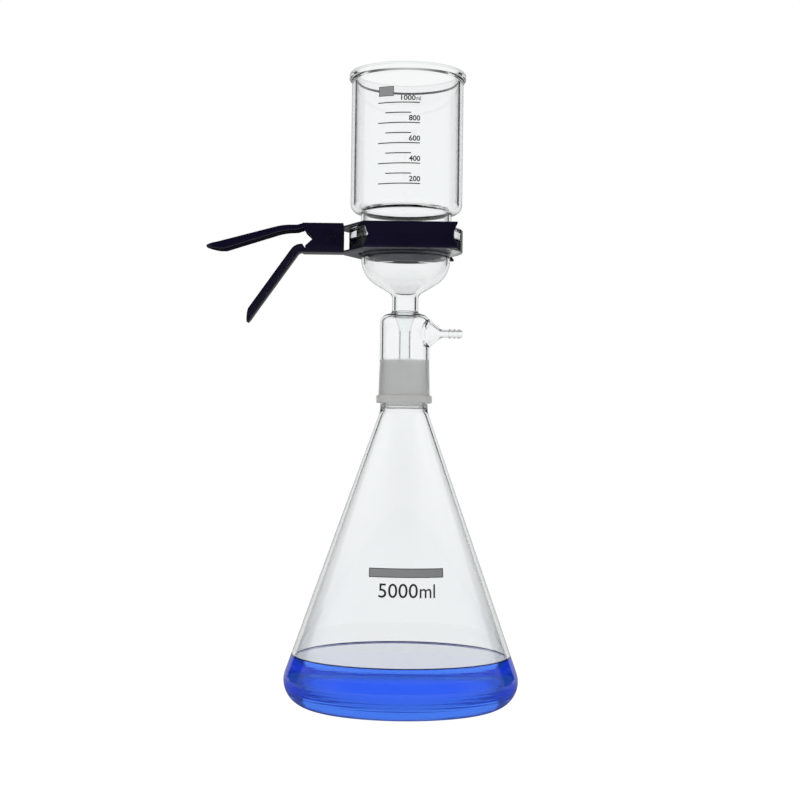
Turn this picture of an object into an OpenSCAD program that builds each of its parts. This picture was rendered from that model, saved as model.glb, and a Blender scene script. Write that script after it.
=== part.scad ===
// Vacuum filtration unit: a conical receiving flask, a fritted filter base with a side
// nozzle for the vacuum hose, a graduated cup, and a sprung clamp over the glass flanges.
// Millimetres, +Z up. The origin is on the glass axis, where the flask stands.
// The vacuum nozzle points along +X and the clamp's handles point along -X.

/* [Flask] */
// Greatest outer radius of the flask
flask_r = 116.5; // [112:0.5:122]
// Radius of the rounded heel
heel_r = 26; // [20:1:30]
// Slope of the conical wall, in degrees from the vertical
cone_angle = 19.5; // [18:0.5:21]
// Thickness of the conical wall
flask_wall = 3.2; // [2.4:0.1:4]
// Thickness of the flask's bottom
flask_bottom = 4; // [3:0.5:6]
// Outer radius at the foot of the neck
neck_r = 23.6; // [22:0.2:25]
// Radius of the neck's bore
neck_bore_r = 18.4; // [16:0.2:19]
// Length of the neck above the cone
neck_len = 50; // [42:1:60]
// Radius of the hollow between cone and neck
neck_blend_r = 25; // [15:1:35]

/* [Filtrate] */
// Height of the liquid's surface above the bench
fill_z = 49.5; // [42:0.5:80]

/* [Ground joint] */
// Lean of the ground taper, as radius over length
taper = 0.05; // [0.03:0.01:0.06]
// Radial clearance in the ground joint
joint_gap = 0.1; // [0.05:0.01:0.2]
// Height of the collar's foot above the foot of the neck
collar_lift = 8; // [7:0.5:10]
// Outer radius of the collar
collar_r = 27.8; // [27.4:0.2:31]
// Height of the collar
collar_h = 7.5; // [5:0.5:10]
// Outer radius of the socket just above the collar
socket_r = 25.6; // [25.4:0.1:26]

/* [Filter base] */
// Outer radius of the vacuum chamber
cap_r = 24.8; // [24:0.2:25.2]
// Height of the chamber above the neck's mouth
cap_h = 44.5; // [40:0.5:55]
// Rise of the chamber's domed top towards the stem
dome_rise = 4; // [2:0.5:6]
// Wall of the chamber
cap_wall = 3; // [2.4:0.1:3.4]
// Outer radius of the stem
stem_r = 13.2; // [12.5:0.1:14]
// Length of the stem between chamber and bowl
stem_len = 18; // [16:0.5:28]
// Wall of the stem
stem_wall = 3.6; // [2.5:0.1:4]
// Outer radius of the bowl
bowl_r = 44.5; // [43:0.5:46]
// Slope of the bowl's underside, in degrees from the horizontal
bowl_angle = 31; // [28:1:34]
// Radius of the bowl's rounded side
bowl_bend_r = 28.4; // [22:0.2:29]
// Height of the bowl's side from the foot of its rounding to the flange
bowl_side_h = 23.4; // [22.8:0.1:28]
// Wall of the bowl
bowl_wall = 3.4; // [2.5:0.1:4]
// Outer radius of the drip tube inside the chamber
drip_r = 6; // [5.5:0.1:7]
// Wall of the drip tube
drip_wall = 1.5; // [1:0.1:2]
// Length of the drip tube below the neck's mouth
drip_len = 36; // [25:1:45]

/* [Vacuum nozzle] */
// Depth of the nozzle's axis below the top of the chamber
nozzle_drop = 16.5; // [14:0.5:18]
// Distance of the nozzle's tip from the glass axis
nozzle_reach = 57.5; // [52:0.5:65]
// Outer radius of the nozzle between its ridges
nozzle_r = 4; // [3.8:0.1:4.4]
// Outer radius of the ridges
ridge_r = 4.7; // [4.5:0.1:5]
// Distance between ridges
ridge_pitch = 4.6; // [4.2:0.1:5]
// Number of ridges
ridges = 3; // [2:1:3]
// Radius of the nozzle's bore
nozzle_bore_r = 2.6; // [2.2:0.1:2.8]

/* [Flanges and filter] */
// Outer radius of both glass flanges
flange_r = 57; // [55:0.5:59]
// Thickness of each glass flange
flange_h = 11.3; // [10.6:0.1:13]
// Wall of the bowl round the sintered disc
frit_wall = 4.4; // [3.9:0.1:6]
// Thickness of the sintered disc
frit_h = 14; // [8:0.5:14.5]
// Radial clearance round the sintered disc
frit_gap = 0.1; // [0.05:0.05:0.2]
// Radius of the membrane filter
membrane_r = 45; // [43:0.5:48]
// Thickness of the membrane filter
membrane_t = 0.2; // [0.1:0.05:0.4]

/* [Cup] */
// Outer radius of the cup's body
cup_r = 56; // [54:0.5:58]
// Wall of the cup's body
cup_wall = 4.8; // [3:0.1:5.5]
// Outer radius of the cup's neck
cup_neck_r = 45.5; // [44.5:0.1:46]
// Wall of the cup's neck
cup_neck_wall = 3.6; // [2.5:0.1:4]
// Height of the neck between flange and shoulder
cup_neck_h = 16; // [14:0.5:26]
// Height of the body from shoulder to rim
cup_body_h = 141.6; // [110:0.2:170]
// Radius of the rounded shoulder
shoulder_r = 9.5; // [8:0.5:10]
// Outer radius of the beaded rim
rim_r = 58.6; // [57:0.2:60]
// Height of the beaded rim
rim_h = 7; // [6:0.5:9]

/* [Clamp] */
// Thickness of the folded sheet
sheet_t = 1.5; // [1.2:0.1:1.8]
// Clearance between the clamp's lips and the glass flanges
lip_gap = 0.8; // [0.5:0.1:1.2]
// Clearance between the fork's slot and the glass necks
slot_gap = 2; // [1.5:0.1:2.6]
// Reach of the fork's prongs beyond the glass axis
prong_reach = 49.8; // [45:0.2:54]
// Length of the prongs' straight lips
lip_len = 91.3; // [80:0.1:95]
// Slant of the lips' ends along the lip
lip_slant = 4.6; // [2:0.2:7]
// Gap between the lips of the two jaws
lip_parting = 0.8; // [0.6:0.1:1.4]
// Distance of the hinge pin from the flanges' edge
pin_offset = 19.5; // [18:0.5:22]
// Height of the hinge pin above the filter's plane
pin_lift = 2.4; // [1.5:0.1:3]
// Radius of the hinge pin
pin_r = 2.5; // [2:0.1:3]
// Radial clearance of the pin in the ears
pin_gap = 0.05; // [0.03:0.01:0.1]
// Distance from the pin to the front edge of the hinge ears
ear_front = 14; // [13:0.5:15]
// Outer width of the upper jaw's hinge ears and handle
ear_w = 30; // [28:1:34]
// Clearance between the ears of the two jaws
ear_gap = 0.6; // [0.4:0.1:0.8]
// Length of the hinge ears
ear_len = 37.7; // [36:0.1:40]
// Step from the fork up to the top of the hinge
hinge_step = 3.4; // [3:0.1:4]
// Radius of the folds
fold_r = 2.6; // [2.2:0.1:3.2]

/* [Handles] */
// Flat length between the upper hinge ears and the handle's bend
upper_flat = 15; // [12:1:18]
// Angle of the upper handle below the horizontal
upper_angle = 15; // [12:0.5:18]
// Length of the upper handle beyond its bend
upper_len = 72; // [50:1:80]
// Depth of the upper handle's rolled sides at the hinge
neck_depth = 5; // [4:0.2:7]
// Depth of the upper handle's rolled sides near its tip
upper_depth = 10; // [8:0.2:12]
// Flat length between the lower hinge ears and the handle's bend
lower_flat = 4; // [4:0.5:8]
// Angle of the lower handle below the horizontal
lower_angle = 54.8; // [50:0.1:58]
// Length of the lower handle beyond its bend
lower_len = 85; // [60:1:90]
// Depth of the lower handle's rolled sides
lower_depth = 7.8; // [4:0.2:9]

/* [Spring] */
// Radius of the spring wire
wire_r = 0.8; // [0.6:0.1:0.9]
// Mean radius of the coil
coil_r = 5; // [4.4:0.1:5.4]
// Number of full turns
coil_turns = 8; // [6:1:9]
// Distance between turns
coil_pitch = 2; // [1.9:0.05:2.1]

/* [Hidden] */

$fn = 96;
arc_step = 9;     // degrees between the points of a rounded corner
past = 1;         // how far a cutting solid runs past what it cuts
lap = 0.2;        // how far solids that are joined run into each other

glass = [0.80, 0.88, 0.90, 0.35];
frosted = [0.72, 0.74, 0.75];
navy = [0.10, 0.08, 0.22];
steel = [0.75, 0.76, 0.78];

// ---- outlines ----

// Points of the arc of radius r that rounds the corner b between a and c
function corner(a, b, c, r) =
    let (u = (a - b) / norm(a - b),
         v = (c - b) / norm(c - b),
         half = acos(u * v) / 2,
         centre = b + (u + v) / norm(u + v) * r / sin(half),
         p = b + u * r / tan(half) - centre,
         q = b + v * r / tan(half) - centre,
         start = atan2(p[1], p[0]),
         turn = atan2(q[1], q[0]) - start,
         sweep = turn > 180 ? turn - 360 : turn < -180 ? turn + 360 : turn,
         steps = max(2, ceil(abs(sweep) / arc_step)))
    [for (i = [0:steps]) centre + r * [cos(start + sweep * i / steps), sin(start + sweep * i / steps)]];

// A closed outline from corners [x, y, radius], sharp where the radius is 0
function outline(c) =
    let (n = len(c), p = [for (k = c) [k[0], k[1]]])
    [for (i = [0:n - 1])
        each c[i][2] == 0 ? [p[i]] : corner(p[(i + n - 1) % n], p[i], p[(i + 1) % n], c[i][2])];

// A turned solid from the corners [radius, height, rounding] of its half section
module turned(corners) {
    rotate_extrude() polygon(outline(corners));
}

// ---- flask ----

// The conical wall's outer radius, carried down to the bench
cone_foot_r = flask_r - heel_r + heel_r * (1 / cos(cone_angle) + tan(cone_angle));
function cone_r(z) = cone_foot_r - tan(cone_angle) * z;
function cone_inner_r(z) = cone_r(z) - flask_wall / cos(cone_angle);
function cone_z(r) = (cone_foot_r - r) / tan(cone_angle);
function cone_inner_z(r) = (cone_foot_r - flask_wall / cos(cone_angle) - r) / tan(cone_angle);

neck_foot_z = cone_z(neck_r);
neck_top_z = neck_foot_z + neck_len;
ground_z = neck_foot_z + collar_lift - 2;    // the ground taper starts just below the collar
function ground_r(z) = neck_r - taper * (z - ground_z);
inner_heel_r = heel_r - flask_wall;

module flask() {
    color(glass) turned([
        [0, 0, 0],
        [cone_foot_r, 0, heel_r],
        [neck_r, neck_foot_z, neck_blend_r],
        [neck_r, ground_z, 0],
        [ground_r(neck_top_z), neck_top_z, 0.8],
        [neck_bore_r, neck_top_z, 0.8],
        [neck_bore_r, cone_inner_z(neck_bore_r), neck_blend_r + flask_wall],
        [cone_inner_r(flask_bottom), flask_bottom, inner_heel_r],
        [0, flask_bottom, 0]]);
}

// ---- filtrate ----

liquid_gap = 0.05;    // keeps the liquid's solid just off the glass wall

module filtrate() {
    color([0.10, 0.25, 0.95, 0.8]) turned([
        [0, flask_bottom, 0],
        [cone_inner_r(flask_bottom) - liquid_gap / cos(cone_angle), flask_bottom, inner_heel_r],
        [cone_inner_r(fill_z) - liquid_gap / cos(cone_angle), fill_z, 0],
        [0, fill_z, 0]]);
}

// ---- filter base ----

collar_z = neck_foot_z + collar_lift;
cap_top_z = neck_top_z + cap_h;
stem_foot_z = cap_top_z + dome_rise;
bowl_foot_z = stem_foot_z + stem_len;
function bowl_line_z(r) = bowl_foot_z + (r - stem_r) * tan(bowl_angle);
base_flange_z = bowl_line_z(bowl_r) + bowl_side_h;
filter_z = base_flange_z + flange_h;         // the ground face that the filter lies on
frit_z = filter_z - frit_h;
frit_seat_r = bowl_r - frit_wall;
frit_r = frit_seat_r - frit_gap;
ledge_w = 1.6;                               // ledge under the sintered disc
ledge_h = 3.2;                               // depth of the ledge and its slope
stem_bend_r = 6;

cap_in_r = cap_r - cap_wall;
stem_in_r = stem_r - stem_wall;
bowl_in_r = bowl_r - bowl_wall;
drip_in_r = drip_r - drip_wall;
drip_end_z = neck_top_z - drip_len;
drip_root_r = stem_in_r + drip_wall - 0.5;   // the tube's root under the dome
function bowl_inner_z(r) = bowl_line_z(r) + bowl_wall / cos(bowl_angle);
function dome_z(r) = cap_top_z + dome_rise * (cap_r - r) / (cap_r - stem_r);
socket_top_z = neck_top_z + 1.5;

nozzle_z = cap_top_z - nozzle_drop;
flare_end = cap_r + 11.4;                    // where the nozzle's flared root ends
flare_start = 17.5;                          // its hidden inner end, inside the chamber
flare_root_r = 17.3;                         // its radius there
flare_bend = 24;                             // from here on it narrows faster
flare_bend_r = 14.6;
flare_wall = 2.4;                            // glass left along the radius inside the flare
tip_len = 1.6;                               // plain tube between the last ridge and the tip
ridge_len = 3;
ridge_slope = 2.2;                           // the part of a ridge that slopes to the tip

// The base's outside, filled in to the axis
module base_outside() {
    turned([
        [0, collar_z, 0],
        [collar_r, collar_z, 1.4],
        [collar_r, collar_z + collar_h, 1.6],
        [socket_r, collar_z + collar_h + 0.6, 0.4],
        [cap_r, neck_top_z, 0],
        [cap_r, cap_top_z, 8.5],
        [stem_r, stem_foot_z, 2.5],
        [stem_r, bowl_foot_z, stem_bend_r],
        [bowl_r, bowl_line_z(bowl_r), bowl_bend_r],
        [bowl_r, base_flange_z, 2],
        [flange_r, base_flange_z, 1.5],
        [flange_r, filter_z, 0.6],
        [0, filter_z, 0]]);
}

// The ground socket and the vacuum chamber round the drip tube
module chamber_void() {
    turned([
        [0, collar_z - past, 0],
        [ground_r(collar_z - past) + joint_gap, collar_z - past, 0],
        [ground_r(socket_top_z) + joint_gap, socket_top_z, 0],
        [cap_in_r, socket_top_z, 0],
        [cap_in_r, dome_z(cap_in_r) - cap_wall, 5.5],
        [drip_root_r, dome_z(drip_root_r) - cap_wall, 1.5],
        [drip_r, cap_top_z - nozzle_drop + 1, 6],
        [drip_r, drip_end_z, 0],
        [0, drip_end_z, 0]]);
}

// The way of the filtrate: frit seat, bowl, stem and drip tube
module flow_void() {
    turned([
        [0, drip_end_z - past, 0],
        [drip_in_r, drip_end_z - past, 0],
        [drip_in_r, cap_top_z - nozzle_drop + 2, 6],
        [stem_in_r, cap_top_z + 1, 6],
        [stem_in_r, bowl_inner_z(stem_in_r), stem_bend_r + bowl_wall],
        [bowl_in_r, bowl_inner_z(bowl_in_r), bowl_bend_r - bowl_wall],
        [bowl_in_r, frit_z - ledge_h, 0.8],
        [frit_seat_r - ledge_w, frit_z - 1, 0.6],
        [frit_seat_r - ledge_w, frit_z, 0],
        [frit_seat_r, frit_z, 0],
        [frit_seat_r, filter_z + past, 0],
        [0, filter_z + past, 0]]);
}

// The side tube along +X, with its flared root and the ridges that grip a hose
module nozzle_outside() {
    along_x(concat(
        [[0, flare_start, 0],
         [flare_root_r, flare_start, 0],
         [flare_bend_r, flare_bend, 4],
         [nozzle_r, flare_end, 7]],
        [for (i = [ridges - 1:-1:0])
            let (x = nozzle_reach - tip_len - i * ridge_pitch)
            each [[nozzle_r, x - ridge_len, 0],
                  [ridge_r, x - ridge_slope, 0.3],
                  [nozzle_r, x, 0]]],
        [[nozzle_r, nozzle_reach, 0.8],
         [0, nozzle_reach, 0]]));
}

module nozzle_void() {
    along_x([
        [0, flare_start - past, 0],
        [flare_root_r - flare_wall, flare_start - past, 0],
        [flare_bend_r - flare_wall, flare_bend - 0.6, 4],
        [nozzle_bore_r, flare_end - 1.8, 5],
        [nozzle_bore_r, nozzle_reach + past, 0],
        [0, nozzle_reach + past, 0]]);
}

// A solid turned about the nozzle's axis, from the corners [radius, distance, rounding]
module along_x(corners) {
    translate([0, 0, nozzle_z]) rotate([0, 90, 0]) turned(corners);
}

module filter_base() {
    color(glass) difference() {
        union() {
            base_outside();
            nozzle_outside();
        }
        nozzle_void();
        chamber_void();
        flow_void();
    }
}

// ---- filter ----

module frit_disc() {
    color([0.25, 0.27, 0.32]) translate([0, 0, frit_z]) cylinder(r = frit_r, h = frit_h);
}

module membrane_filter() {
    color("white") translate([0, 0, filter_z]) cylinder(r = membrane_r, h = membrane_t);
}

// ---- cup ----

cup_z = filter_z + membrane_t;
cup_flange_z = cup_z + flange_h;
shoulder_z = cup_flange_z + cup_neck_h;
cup_top_z = shoulder_z + cup_body_h;
cup_in_r = cup_r - cup_wall;
cup_neck_in_r = cup_neck_r - cup_neck_wall;
shoulder_rise = 0.8;                         // the shoulder's slight slope

module cup() {
    color(glass) turned([
        [cup_neck_in_r, cup_z, 0],
        [flange_r, cup_z, 0.6],
        [flange_r, cup_flange_z, 1.5],
        [cup_neck_r, cup_flange_z, 2],
        [cup_neck_r, shoulder_z, 1.2],
        [cup_r, shoulder_z + shoulder_rise, shoulder_r],
        [cup_r, cup_top_z - rim_h - 3.5, 5],
        [rim_r, cup_top_z - rim_h, 2],
        [rim_r, cup_top_z, 2.6],
        [cup_in_r, cup_top_z, 3],
        [cup_in_r, shoulder_z + cup_neck_wall + shoulder_rise, shoulder_r - cup_neck_wall],
        [cup_neck_in_r, shoulder_z + cup_neck_wall, 3]]);
}

// ---- clamp ----

mid_z = filter_z + membrane_t / 2;           // the plane where the two jaws meet
grip_z = flange_h + membrane_t / 2;          // from that plane to the sheet's inner face
sheet_z = grip_z + sheet_t;                  // from that plane to the sheet's outer face
lip_in_y = flange_r + lip_gap;
lip_y = lip_in_y + sheet_t;
slot_r = max(cup_neck_r, bowl_r) + slot_gap;
prong_x = prong_reach;
lip_x = prong_reach - lip_len;
pin_x = -flange_r - pin_offset;
ear_x = pin_x + ear_front;                          // front edge of the hinge ears
ear_back_x = ear_x - ear_len;
ear_tail = 3;                                // how far the hinge's web runs past the ears
neck_x = ear_back_x - ear_tail;
inner_w = ear_w - 2 * (sheet_t + ear_gap);   // width of the lower jaw's hinge
hinge_top_z = sheet_z + hinge_step;

// The fork's flat sheet, slotted from +X, for a hinge of the width given
module fork_plan(hinge_w) {
    difference() {
        polygon([
            [ear_x, -hinge_w / 2], [lip_x, -lip_y + fold_r], [prong_x, -lip_y + fold_r],
            [prong_x, lip_y - fold_r], [lip_x, lip_y - fold_r], [ear_x, hinge_w / 2]]);
        circle(r = slot_r);
        translate([0, -slot_r]) square([prong_x + past, 2 * slot_r]);
    }
}

// One prong's edge: the sheet folded over into a lip, with slanted ends
module lip() {
    free_z = lip_parting / 2;
    intersection() {
        translate([lip_x, 0, 0]) rotate([90, 0, 90]) linear_extrude(lip_len)
            polygon(outline([
                [lip_y - fold_r - lap, grip_z, 0],
                [lip_y - fold_r - lap, sheet_z, 0],
                [lip_y, sheet_z, fold_r],
                [lip_y, free_z, 0],
                [lip_in_y, free_z, 0],
                [lip_in_y, grip_z, fold_r - sheet_t]]));
        translate([0, lip_y + past, 0]) rotate([90, 0, 0]) linear_extrude(lip_y)
            polygon([
                [lip_x + lip_slant, free_z], [lip_x, grip_z], [lip_x, sheet_z],
                [prong_x, sheet_z], [prong_x, grip_z], [prong_x - lip_slant, free_z]]);
    }
}

module fork(hinge_w) {
    translate([0, 0, grip_z]) linear_extrude(sheet_t) fork_plan(hinge_w);
    lip();
    mirror([0, 1, 0]) lip();
}

// Half-open channel section: [depth from the outer face, across], the web at depth 0
module channel_section(w, depth, r) {
    polygon(outline([
        [-depth, -w / 2, 0],
        [0, -w / 2, r],
        [0, w / 2, r],
        [-depth, w / 2, 0],
        [-depth, w / 2 - sheet_t, 0],
        [-sheet_t, w / 2 - sheet_t, r - sheet_t],
        [-sheet_t, -w / 2 + sheet_t, r - sheet_t],
        [-depth, -w / 2 + sheet_t, 0]]));
}

// Section of a rolled sheet, [across, out of the outer face], from edge to edge along the
// outer face and back along the inner one
function rolled_section(half_w, depth, fold) =
    let (side = function(r) concat(
             [[half_w - fold + r, -depth]],
             [for (i = [0:roll_steps])
                 let (a = 90 * (1 - i / roll_steps))
                 [half_w - fold + r * sin(a), r * cos(a) - fold]]),
         whole = function(half) concat(half, reverse([for (q = half) [-q[0], q[1]]])))
    concat(whole(side(fold)), reverse(whole(side(fold - sheet_t))));

function reverse(list) = [for (i = [len(list) - 1:-1:0]) list[i]];

// The path of a handle's outer face along -X, as [x, z, angle below the horizontal]: a level
// lead that sinks by dip, a bend at bend_r and a straight run
function handle_path(start_x, lead, dip, bend_r, angle, run, from_tip) =
    let (bend_x = start_x - lead)
    concat(
        [[start_x, 0, 0]],
        [for (i = [0:dip > 0 ? dip_steps : 0])
            let (t = i / dip_steps)
            [start_x - handle_lap - t * dip_len, -dip * (1 - cos(180 * t)) / 2, 0]],
        [for (i = [0:bend_steps])
            let (a = angle * i / bend_steps)
            [bend_x - bend_r * sin(a), -dip - bend_r * (1 - cos(a)), a]],
        [for (u = from_tip)
            [bend_x - bend_r * sin(angle) - (run - u) * cos(angle),
             -dip - bend_r * (1 - cos(angle)) - (run - u) * sin(angle), angle]]);

// A handle of rolled sheet of width w along a path. Its sides are depth_a deep where it starts
// and depth_b near the tip, and fade out there over the length fade. up is 1 where the outer
// face looks up and -1 where it looks down.
module handle(path, w, depth_a, depth_b, fade, up) {
    n = len(path);
    tip = path[n - 1];
    tip_r = 0.6 * w;
    last_u = tip_steps[len(tip_steps) - 1];
    least = sheet_t + 0.5;
    ring = [for (k = path)
        let (u = norm([k[0] - tip[0], k[1] - tip[1]]) + last_u,
             t = (path[0][0] - k[0]) / (path[0][0] - tip[0]),
             full = k[0] > path[0][0] - handle_lap ? least : depth_a + t * (depth_b - depth_a),
             depth = least + (full - least) * min(1, u / fade),
             half_w = u < tip_r ? min(w / 2, sqrt(tip_r ^ 2 - (tip_r - u) ^ 2)) : w / 2,
             fold = max(sheet_t + 0.1, min(handle_fold_r, depth - 0.4)))
        for (q = rolled_section(half_w, depth, fold))
            [k[0] + up * q[1] * -sin(k[2]), q[0], k[1] + up * q[1] * cos(k[2])]];
    m = len(rolled_section(w / 2, least, sheet_t + 0.1));
    turn = up > 0 ? [0, 1, 2] : [0, 2, 1];
    skin = [for (i = [0:n - 2], j = [0:m - 1])
        let (a = i * m + j, b = i * m + (j + 1) % m)
        each [[a, b, b + m], [a, b + m, a + m]]];
    caps = [for (j = [0:m / 2 - 2], e = [0, (n - 1) * m])
        let (a = e + j, b = e + j + 1, c = e + m - 2 - j, d = e + m - 1 - j)
        each e > 0 ? [[a, b, c], [a, c, d]] : [[a, c, b], [a, d, c]]];
    polyhedron(points = ring, faces = [for (f = concat(skin, caps)) [for (i = turn) f[i]]]);
}

// A prism across the jaw from a side view given as corners [x, z, radius]
module side_prism(corners) {
    translate([0, ear_w, 0]) rotate([90, 0, 0]) linear_extrude(2 * ear_w) polygon(outline(corners));
}

handle_fold_r = 7;                           // rounding of the handles' long edges
handle_lap = 4;                              // how far a handle runs into its hinge
handle_sink = 0.3;                           // depth of the handle's face below the hinge's
handle_inset = 0.5;                          // by which a handle is narrower than its hinge
dip_len = 6;                                 // length over which the upper handle sinks
dip_steps = 3;
bend_steps = 5;
roll_steps = 4;
tip_steps = [18, 12, 8, 5, 2.5, 1, 0.3];     // distances from the tip where the form changes

upper_bend_r = 60;
upper_dip = 1.4;
upper_fade = 16;

// The upper jaw in its own frame: the meeting plane at z = 0, the fork above it
module upper_jaw_shape() {
    low_z = -grip_z + 0.8;                   // lower edge of the ears
    notch_z = 0.6;                           // the V notch in the ears' back edge
    notch_half = 7.4;
    notch_depth = 8.1;
    ear_corner = 0.8;
    neck_h = 3;                              // height of the ears' edge behind them
    step_lap = 3;                            // the step's flat ends on the fork and the hinge
    step_foot = 1;                           // the slope starts in front of the ears' edge
    step_head = 3;                           // and ends behind it
    difference() {
        union() {
            fork(ear_w);
            // step from the fork's sheet up to the hinge
            side_strip([step_lap, step_foot, -step_head, -step_head - step_lap],
                       [sheet_z, sheet_z, hinge_top_z, hinge_top_z]);
            // hinge ears
            intersection() {
                translate([ear_x, 0, hinge_top_z]) rotate([0, -90, 0]) linear_extrude(ear_len + ear_tail)
                    channel_section(ear_w, hinge_top_z - low_z, fold_r);
                side_prism([
                    [ear_x, low_z, ear_corner],
                    [ear_back_x, low_z, ear_corner],
                    [ear_back_x, notch_z - notch_half, ear_corner],
                    [ear_back_x + notch_depth, notch_z, 0],
                    [ear_back_x, notch_z + notch_half, ear_corner],
                    [neck_x, hinge_top_z - neck_h, 0],
                    [neck_x, hinge_top_z + past, 0],
                    [ear_x, hinge_top_z + past, 0]]);
            }
            translate([0, 0, hinge_top_z - handle_sink])
                handle(handle_path(neck_x + handle_lap, upper_flat - ear_tail + handle_lap,
                                   upper_dip, upper_bend_r, upper_angle, upper_len, tip_steps),
                       ear_w - 2 * handle_inset, neck_depth, upper_depth, upper_fade, 1);
        }
        pin_hole();
    }
}

// A folded strip of sheet across the hinge, from its outer face's distances before the ears'
// front edge and its heights
module side_strip(x, z) {
    n = len(x) - 1;
    w = ear_w - 2 * fold_r;
    translate([0, w / 2, 0]) rotate([90, 0, 0]) linear_extrude(w) polygon(concat(
        [for (i = [0:n]) [ear_x + x[i], z[i]]],
        [for (i = [n:-1:0]) [ear_x + x[i], z[i] - sheet_t]]));
}

// The hole for the pin through all ears of a jaw
module pin_hole() {
    translate([pin_x, ear_w, pin_lift]) rotate([90, 0, 0]) cylinder(r = pin_r + pin_gap, h = 2 * ear_w);
}

module upper_jaw() {
    color(navy) translate([0, 0, mid_z]) upper_jaw_shape();
}

lower_bend_r = 4.5;
lower_fade = 11;
inner_ear_r = pin_r + 7;                     // the inner ears' round tops about the pin

// The lower jaw in its own frame: the meeting plane at z = 0, the fork below it
module lower_jaw_shape() {
    bottom_z = -sheet_z;
    sheet_top_z = bottom_z + sheet_t;
    ear_top_z = pin_lift + inner_ear_r;
    ear_foot_x = pin_x - inner_ear_r - 4;    // where the ears run out behind the pin
    ear_tail_h = 3;                          // height of their low edge from there on
    difference() {
        union() {
            mirror([0, 0, 1]) fork(inner_w);
            // hinge ears, round about the pin
            intersection() {
                translate([ear_x + lap, 0, bottom_z]) rotate([0, -90, 0])
                    linear_extrude(ear_len + ear_tail + lap) mirror([1, 0, 0])
                        channel_section(inner_w, ear_top_z - bottom_z + past, fold_r);
                side_prism([
                    [ear_x + lap, bottom_z - past, 0],
                    [ear_x + lap, sheet_top_z, 0],
                    [pin_x + inner_ear_r + 1, pin_lift - 4, 3],
                    [pin_x + inner_ear_r, ear_top_z, inner_ear_r - 0.4],
                    [pin_x - inner_ear_r, ear_top_z, inner_ear_r - 0.4],
                    [ear_foot_x, bottom_z + ear_tail_h, 0],
                    [neck_x, bottom_z + ear_tail_h, 0],
                    [neck_x, bottom_z - past, 0]]);
            }
            translate([0, 0, bottom_z + handle_sink])
                handle(handle_path(neck_x + handle_lap, lower_flat - ear_tail + handle_lap,
                                   0, lower_bend_r, lower_angle, lower_len, tip_steps),
                       inner_w - 2 * handle_inset, lower_depth, lower_depth, lower_fade, -1);
        }
        pin_hole();
    }
}

module lower_jaw() {
    color(navy) translate([0, 0, mid_z]) lower_jaw_shape();
}

washer_t = 0.8;
washer_r = pin_r + 4.2;
washer_gap = 0.05;
head_r = pin_r + 1.1;
head_h = 1.2;

module on_pin() {
    translate([pin_x, 0, mid_z + pin_lift]) rotate([90, 0, 0]) children();
}

module hinge_pin() {
    half = ear_w / 2 + washer_t + 2 * washer_gap;
    color(navy) on_pin() {
        cylinder(r = pin_r, h = 2 * half, center = true);
        for (s = [0, 1])
            mirror([0, 0, s]) translate([0, 0, half]) rotate_extrude() polygon(outline([
                [0, -lap, 0], [pin_r, -lap, 0], [pin_r, 0, 0], [head_r, 0, 0],
                [head_r, head_h, 0.7], [0, head_h, 0]]));
    }
}

module hinge_washers() {
    color(navy) on_pin()
        for (s = [0, 1])
            mirror([0, 0, s]) translate([0, 0, ear_w / 2 + washer_gap]) difference() {
                cylinder(r = washer_r, h = washer_t);
                translate([0, 0, -past]) cylinder(r = pin_r + pin_gap, h = washer_t + 2 * past);
            }
}

// ---- torsion spring ----

seat_gap = 0.1;                              // between the spring's legs and the sheets
leg_len = 22;                                // how far the legs reach behind the pin
upper_seat_z = hinge_top_z - sheet_t - wire_r - seat_gap - pin_lift;
lower_seat_z = -sheet_z + sheet_t + wire_r + seat_gap - pin_lift;
upper_turn = 76;                             // where the upper leg leaves the coil
lower_turn = -72;                            // where the lower leg leaves it
total_turn = 360 * coil_turns + upper_turn - lower_turn;
coil_w = total_turn / 360 * coil_pitch;
coil_step = 20;
wire_sides = 8;

function coil_point(a) =
    [coil_r * cos(a), -coil_w / 2 + (upper_turn - a) / 360 * coil_pitch, coil_r * sin(a)];

// The wire's centre line about the pin: upper leg, coil, lower leg
wire_path = concat(
    [[-leg_len, -coil_w / 2, upper_seat_z]],
    [for (k = [0:floor(total_turn / coil_step)]) coil_point(upper_turn - k * coil_step)],
    [coil_point(upper_turn - total_turn)],
    [[-leg_len, coil_w / 2, lower_seat_z]]);

// A round wire along a path, as one closed surface
module wire(path, r) {
    n = len(path);
    dir = [for (i = [0:n - 1])
        let (d = path[min(i + 1, n - 1)] - path[max(i - 1, 0)]) d / norm(d)];
    ring = [for (i = [0:n - 1])
        let (side = [0, 1, 0] - dir[i][1] * dir[i],
             u = side / norm(side),
             v = cross(dir[i], u))
        for (k = [0:wire_sides - 1])
            path[i] + r * (cos(360 * k / wire_sides) * u + sin(360 * k / wire_sides) * v)];
    skin = [for (i = [0:n - 2], k = [0:wire_sides - 1])
        let (a = i * wire_sides + k, b = i * wire_sides + (k + 1) % wire_sides)
        each [[a, b, b + wire_sides], [a, b + wire_sides, a + wire_sides]]];
    first = [for (k = [wire_sides - 1:-1:0]) k];
    last = [for (k = [0:wire_sides - 1]) (n - 1) * wire_sides + k];
    polyhedron(points = ring, faces = concat(skin, [first], [last]));
}

module torsion_spring() {
    color(steel) translate([pin_x, 0, mid_z + pin_lift]) wire(wire_path, wire_r);
}

flask();
filtrate();
filter_base();
frit_disc();
membrane_filter();
cup();
upper_jaw();
lower_jaw();
hinge_pin();
hinge_washers();
torsion_spring();
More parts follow.
